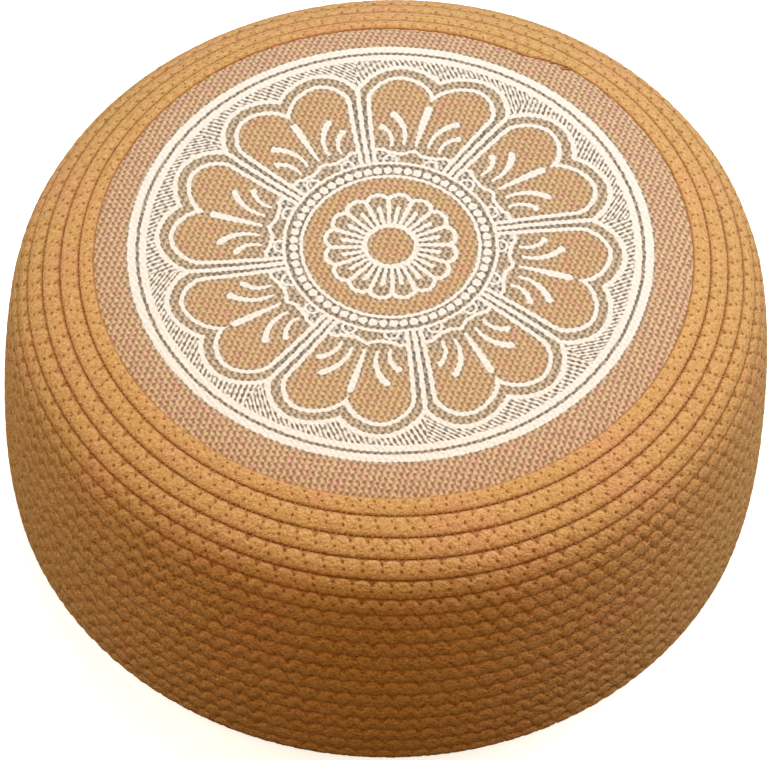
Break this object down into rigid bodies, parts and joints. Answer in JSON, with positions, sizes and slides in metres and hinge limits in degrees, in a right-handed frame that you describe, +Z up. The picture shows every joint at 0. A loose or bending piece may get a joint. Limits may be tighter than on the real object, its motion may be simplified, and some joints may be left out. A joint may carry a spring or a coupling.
{
  "type": "outdoor pouf",
  "caption": "Low round stuffed floor pouf: a flat cotton braid sewn in a spiral over wall and underside, with a round linen panel printed with a white rosette on top.",
  "frame": {"origin": "centre of the box on the surface that the pouf stands on", "axes": "+Z up, the pouf's axis; -Y is the side that faces the viewer; the spiral of the braid starts at the back right"},
  "size_m": [0.3992, 0.4004, 0.1802],
  "materials": {
    "braid": "matt flat cotton braid, zigzag stitched, camel",
    "linen": "matt coarse linen with an off-white print"
  },
  "bodies": {
    "root": {"braided_body": "braid", "linen_top": "linen"}
  },
  "joints": []
}
